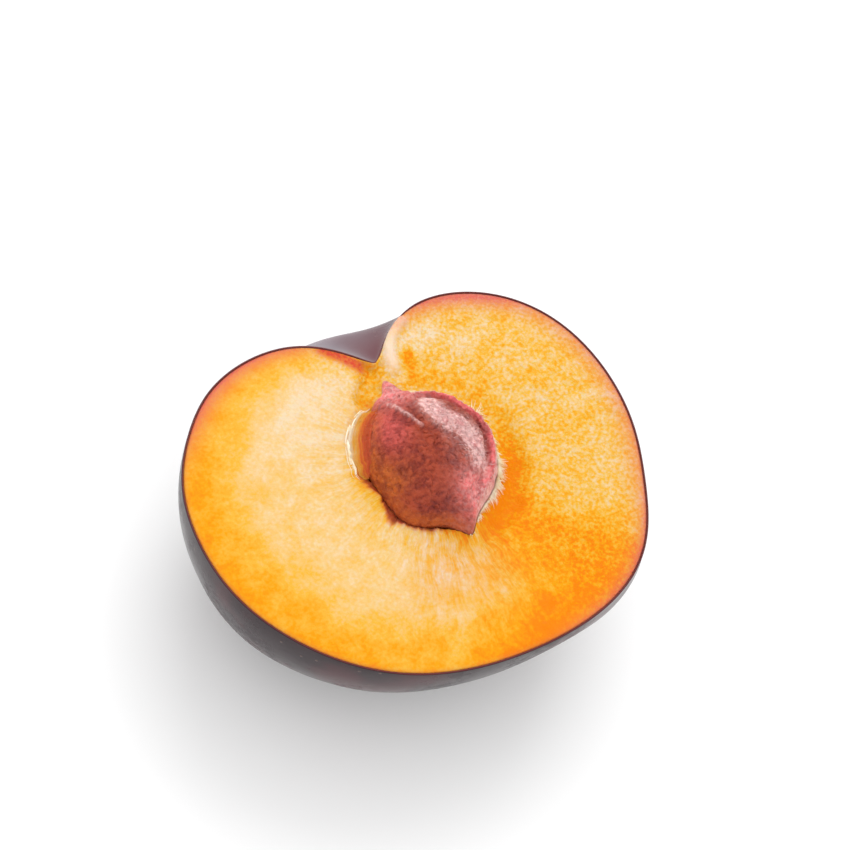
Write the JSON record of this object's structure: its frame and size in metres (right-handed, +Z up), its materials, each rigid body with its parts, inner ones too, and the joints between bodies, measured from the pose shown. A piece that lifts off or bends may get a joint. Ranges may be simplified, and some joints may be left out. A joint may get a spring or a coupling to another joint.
{
  "type": "halved plum",
  "caption": "Plum half as cut, with its stone still in the flesh, resting on its round back with the cut face up.",
  "frame": {"origin": "middle of the small flat spot on the round back, on the surface that the half rests on", "axes": "+Z up, square to the cut face; +Y towards the stem cavity; +X towards the seam side"},
  "size_m": [0.0607, 0.0495, 0.0298],
  "materials": {
    "skin": "glossy near-black purple peel with a thin grey-blue bloom and tiny pale dots",
    "flesh": "moist orange flesh, paler and streaked round the stone, blushed red under the peel",
    "stone": "rough red-brown pit with a pink keel and clinging pale fibres"
  },
  "bodies": {
    "root": {"skin": "skin", "flesh": "flesh", "stone": "stone"}
  },
  "joints": []
}
